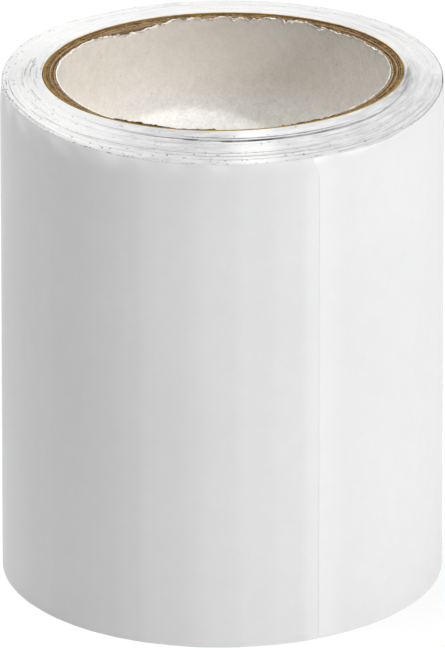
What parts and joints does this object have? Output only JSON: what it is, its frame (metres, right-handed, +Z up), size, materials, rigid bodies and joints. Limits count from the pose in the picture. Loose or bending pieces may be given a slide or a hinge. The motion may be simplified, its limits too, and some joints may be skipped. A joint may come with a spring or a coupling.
{
  "type": "roll of tape",
  "caption": "Roll of wide white reflective tape wound on a paperboard core and standing on end, with a free end that lifts and unwinds.",
  "frame": {"origin": "on the axis of the roll, in the plane that it stands on", "axes": "+Z up the axis of the roll; -Y is the front, where the cut free end of the tape lies, a little towards +X"},
  "size_m": [0.1014, 0.1011, 0.1213],
  "materials": {
    "white_film": "satin gloss white reflective sheeting",
    "adhesive": "clear acrylic adhesive, matt",
    "release_liner": "siliconised paper liner, smooth",
    "core_lining": "white paper, matt",
    "kraft_board": "brown kraft core board, cut edge",
    "core_skin": "ochre kraft paper, glazed"
  },
  "bodies": {
    "roll": {"core_inner_liner": "core_lining", "core_kraft_ply_1": "kraft_board", "core_kraft_ply_2": "kraft_board", "core_kraft_ply_3": "kraft_board", "core_kraft_ply_4": "kraft_board", "core_kraft_ply_5": "kraft_board", "core_outer_ply": "core_skin", "starter_strip": "adhesive", "release_liner": "release_liner", "adhesive_layer": "adhesive", "reflective_film": "white_film"},
    "tail_1": {"tail_liner_1": "release_liner", "tail_adhesive_1": "adhesive", "tail_film_1": "white_film"},
    "tail_2": {"tail_liner_2": "release_liner", "tail_adhesive_2": "adhesive", "tail_film_2": "white_film"},
    "tail_3": {"tail_liner_3": "release_liner", "tail_adhesive_3": "adhesive", "tail_film_3": "white_film"},
    "tail_4": {"tail_liner_4": "release_liner", "tail_adhesive_4": "adhesive", "tail_film_4": "white_film"},
    "tail_5": {"tail_liner_5": "release_liner", "tail_adhesive_5": "adhesive", "tail_film_5": "white_film"},
    "tail_6": {"tail_liner_6": "release_liner", "tail_adhesive_6": "adhesive", "tail_film_6": "white_film"}
  },
  "joints": [
    {"name": "tail_bend_1", "type": "hinge", "parent": "roll", "child": "tail_1", "pos_m": [0.04566, 0.02227, 0.0595], "axis": [0, 0, 1], "range_deg": [0, 20]},
    {"name": "tail_bend_2", "type": "hinge", "parent": "tail_1", "child": "tail_2", "pos_m": [0.04987, 0.00968, 0.0595], "axis": [0, 0, 1], "range_deg": [0, 20]},
    {"name": "tail_bend_3", "type": "hinge", "parent": "tail_2", "child": "tail_3", "pos_m": [0.05068, -0.00358, 0.0595], "axis": [0, 0, 1], "range_deg": [0, 20]},
    {"name": "tail_bend_4", "type": "hinge", "parent": "tail_3", "child": "tail_4", "pos_m": [0.04804, -0.01659, 0.0595], "axis": [0, 0, 1], "range_deg": [0, 20]},
    {"name": "tail_bend_5", "type": "hinge", "parent": "tail_4", "child": "tail_5", "pos_m": [0.04211, -0.02848, 0.0595], "axis": [0, 0, 1], "range_deg": [0, 20]},
    {"name": "tail_bend_6", "type": "hinge", "parent": "tail_5", "child": "tail_6", "pos_m": [0.03331, -0.03842, 0.0595], "axis": [0, 0, 1], "range_deg": [0, 20]}
  ],
  "couplings": [
    {"joint": "tail_bend_2", "follows": "tail_bend_1", "ratio": 1},
    {"joint": "tail_bend_3", "follows": "tail_bend_1", "ratio": 1},
    {"joint": "tail_bend_4", "follows": "tail_bend_1", "ratio": 1},
    {"joint": "tail_bend_5", "follows": "tail_bend_1", "ratio": 1},
    {"joint": "tail_bend_6", "follows": "tail_bend_1", "ratio": 1}
  ]
}
